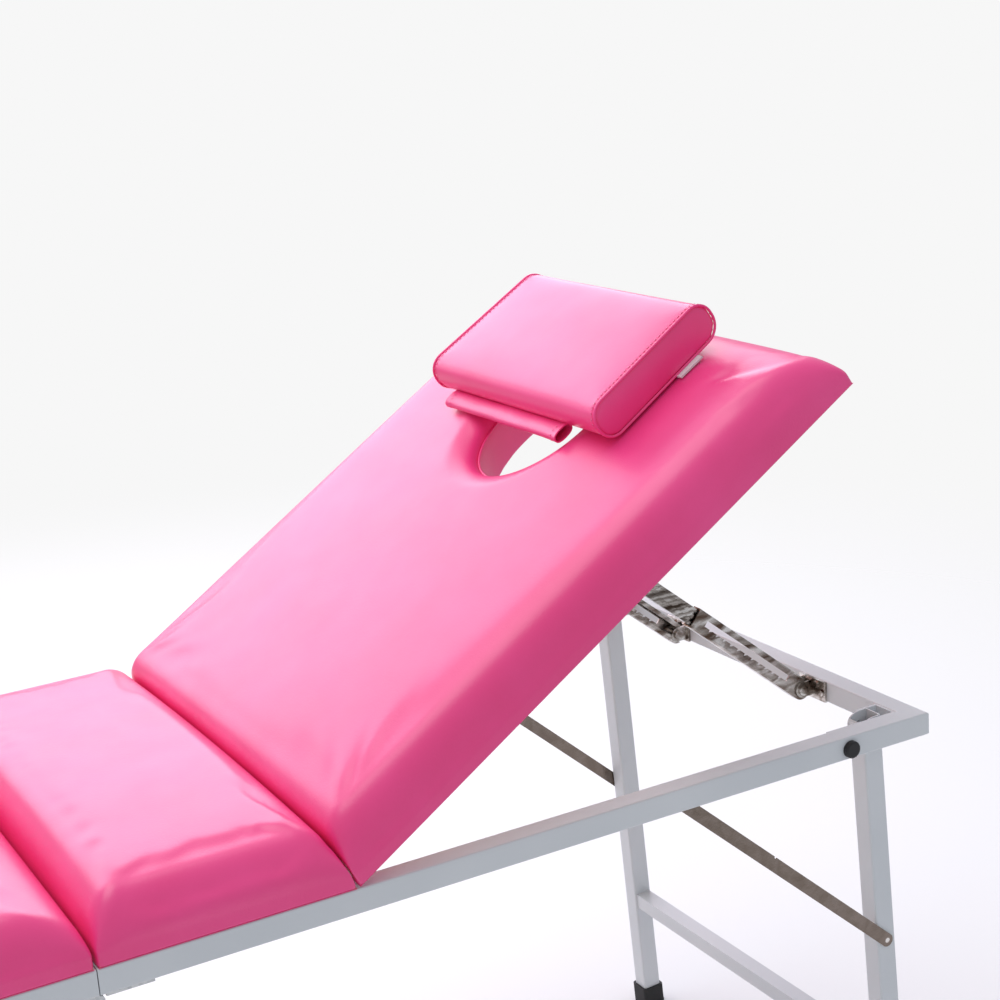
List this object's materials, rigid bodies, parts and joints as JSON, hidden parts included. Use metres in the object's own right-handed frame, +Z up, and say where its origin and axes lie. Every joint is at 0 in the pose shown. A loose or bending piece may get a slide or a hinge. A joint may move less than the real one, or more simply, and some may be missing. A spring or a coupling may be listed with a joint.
{
  "type": "folding treatment table",
  "caption": "Folding padded treatment table with a ratchet-lifted backrest, face hole, loose pillow and legs that fold into a case.",
  "frame": {"origin": "on the floor, under the middle of the table where the two frame halves meet", "axes": "+X towards the head end with the lifting backrest, +Y towards the far side, +Z up"},
  "size_m": [1.86, 0.612, 1.0607],
  "materials": {
    "pink_vinyl": "satin pink upholstery vinyl with a fine grain",
    "foam": "open-cell upholstery foam",
    "plywood": "raw birch plywood",
    "white_paint": "smooth pale grey-white powder coat",
    "nickel_plate": "bright nickel-plated pressed steel",
    "zinc_steel": "zinc-plated steel",
    "rubber_foot": "matte moulded rubber",
    "black_cap": "moulded black plastic",
    "white_tab": "woven white tape"
  },
  "bodies": {
    "head_frame": {"head_rail_near": "white_paint", "head_rail_far": "white_paint", "head_end_rail": "white_paint", "head_fold_rail": "white_paint", "backrest_rail": "white_paint", "seat_board": "plywood", "seat_foam": "foam", "seat_cover": "pink_vinyl", "head_leg_brackets": "white_paint", "head_leg_pins": "zinc_steel", "head_bracket_bolts": "zinc_steel", "head_bolt_caps": "black_cap", "head_stay_frame_rivets": "nickel_plate", "fold_hinge_head": "zinc_steel", "fold_hinge_pins": "zinc_steel", "backrest_hinge_fixed": "zinc_steel", "backrest_hinge_pins": "zinc_steel", "strut_feet": "nickel_plate", "strut_pins": "nickel_plate", "strut_screws": "nickel_plate"},
    "backrest": {"backrest_board": "plywood", "backrest_foam": "foam", "backrest_cover": "pink_vinyl", "backrest_hinge_moving": "zinc_steel", "strut_heads": "nickel_plate"},
    "pillow": {"pillow_foam": "foam", "pillow_cover": "pink_vinyl", "pillow_strap": "pink_vinyl", "pillow_tab": "white_tab"},
    "strut_channels": {"strut_channel_near": "nickel_plate", "strut_channel_far": "nickel_plate"},
    "strut_bars": {"strut_bar_near": "nickel_plate", "strut_bar_far": "nickel_plate"},
    "head_legs": {"head_leg_near": "white_paint", "head_leg_far": "white_paint", "head_crossbar": "white_paint", "head_feet": "rubber_foot", "head_stay_leg_rivets": "nickel_plate"},
    "head_stay_uppers": {"head_stay_upper": "nickel_plate"},
    "head_stay_lowers": {"head_stay_lower": "nickel_plate"},
    "foot_frame": {"foot_rail_near": "white_paint", "foot_rail_far": "white_paint", "foot_end_rail": "white_paint", "foot_fold_rail": "white_paint", "leg_section_board": "plywood", "leg_section_foam": "foam", "leg_section_cover": "pink_vinyl", "foot_leg_brackets": "white_paint", "foot_leg_pins": "zinc_steel", "foot_bracket_bolts": "zinc_steel", "foot_bolt_caps": "black_cap", "foot_stay_frame_rivets": "nickel_plate", "fold_hinge_foot": "zinc_steel"},
    "foot_legs": {"foot_leg_near": "white_paint", "foot_leg_far": "white_paint", "foot_crossbar": "white_paint", "foot_feet": "rubber_foot", "foot_stay_leg_rivets": "nickel_plate"},
    "foot_stay_uppers": {"foot_stay_upper": "nickel_plate"},
    "foot_stay_lowers": {"foot_stay_lower": "nickel_plate"}
  },
  "joints": [
    {"name": "backrest_lift", "type": "hinge", "parent": "head_frame", "child": "backrest", "pos_m": [0.25, 0, 0.596], "axis": [0, -1, 0], "range_deg": [-32.73, 0]},
    {"name": "pillow_lift_off", "type": "slide", "parent": "backrest", "child": "pillow", "axis": [-0.5407, 0, 0.8412], "range_m": [0, 0.2]},
    {"name": "strut_swing", "type": "hinge", "parent": "head_frame", "child": "strut_channels", "pos_m": [0.889, 0, 0.587], "axis": [0, 1, 0], "range_deg": [-39.53, 0.01]},
    {"name": "strut_slide", "type": "slide", "parent": "strut_channels", "child": "strut_bars", "axis": [-0.7684, 0, 0.64], "range_m": [-0.14687, 0.0001]},
    {"name": "centre_fold", "type": "hinge", "parent": "head_frame", "child": "foot_frame", "pos_m": [0, 0, 0.57], "axis": [0, -1, 0], "range_deg": [0, 180]},
    {"name": "head_leg_fold", "type": "hinge", "parent": "head_frame", "child": "head_legs", "pos_m": [0.876, 0, 0.585], "axis": [0, 1, 0], "range_deg": [-0.01, 93.16]},
    {"name": "head_stay_upper_fold", "type": "hinge", "parent": "head_frame", "child": "head_stay_uppers", "pos_m": [0.608, 0, 0.585], "axis": [0, 1, 0], "range_deg": [-0.01, 137.83]},
    {"name": "head_stay_lower_fold", "type": "hinge", "parent": "head_legs", "child": "head_stay_lowers", "pos_m": [0.89007, 0, 0.32939], "axis": [0, -1, 0], "range_deg": [-0.01, 135.34]},
    {"name": "foot_leg_fold", "type": "hinge", "parent": "foot_frame", "child": "foot_legs", "pos_m": [-0.876, 0, 0.585], "axis": [0, -1, 0], "range_deg": [-0.01, 93.16]},
    {"name": "foot_stay_upper_fold", "type": "hinge", "parent": "foot_frame", "child": "foot_stay_uppers", "pos_m": [-0.608, 0, 0.585], "axis": [0, -1, 0], "range_deg": [-0.01, 137.83]},
    {"name": "foot_stay_lower_fold", "type": "hinge", "parent": "foot_legs", "child": "foot_stay_lowers", "pos_m": [-0.89007, 0, 0.32939], "axis": [0, 1, 0], "range_deg": [-0.01, 135.34]}
  ],
  "couplings": [
    {"joint": "strut_swing", "follows": "backrest_lift", "ratio": 1.2075},
    {"joint": "strut_slide", "follows": "backrest_lift", "m_per_rad": 0.25694},
    {"joint": "head_leg_fold", "follows": "centre_fold", "ratio": 0.5175},
    {"joint": "head_stay_upper_fold", "follows": "centre_fold", "ratio": 0.76565},
    {"joint": "head_stay_lower_fold", "follows": "centre_fold", "ratio": 0.75185},
    {"joint": "foot_leg_fold", "follows": "centre_fold", "ratio": 0.5175},
    {"joint": "foot_stay_upper_fold", "follows": "centre_fold", "ratio": 0.76565},
    {"joint": "foot_stay_lower_fold", "follows": "centre_fold", "ratio": 0.75185}
  ]
}
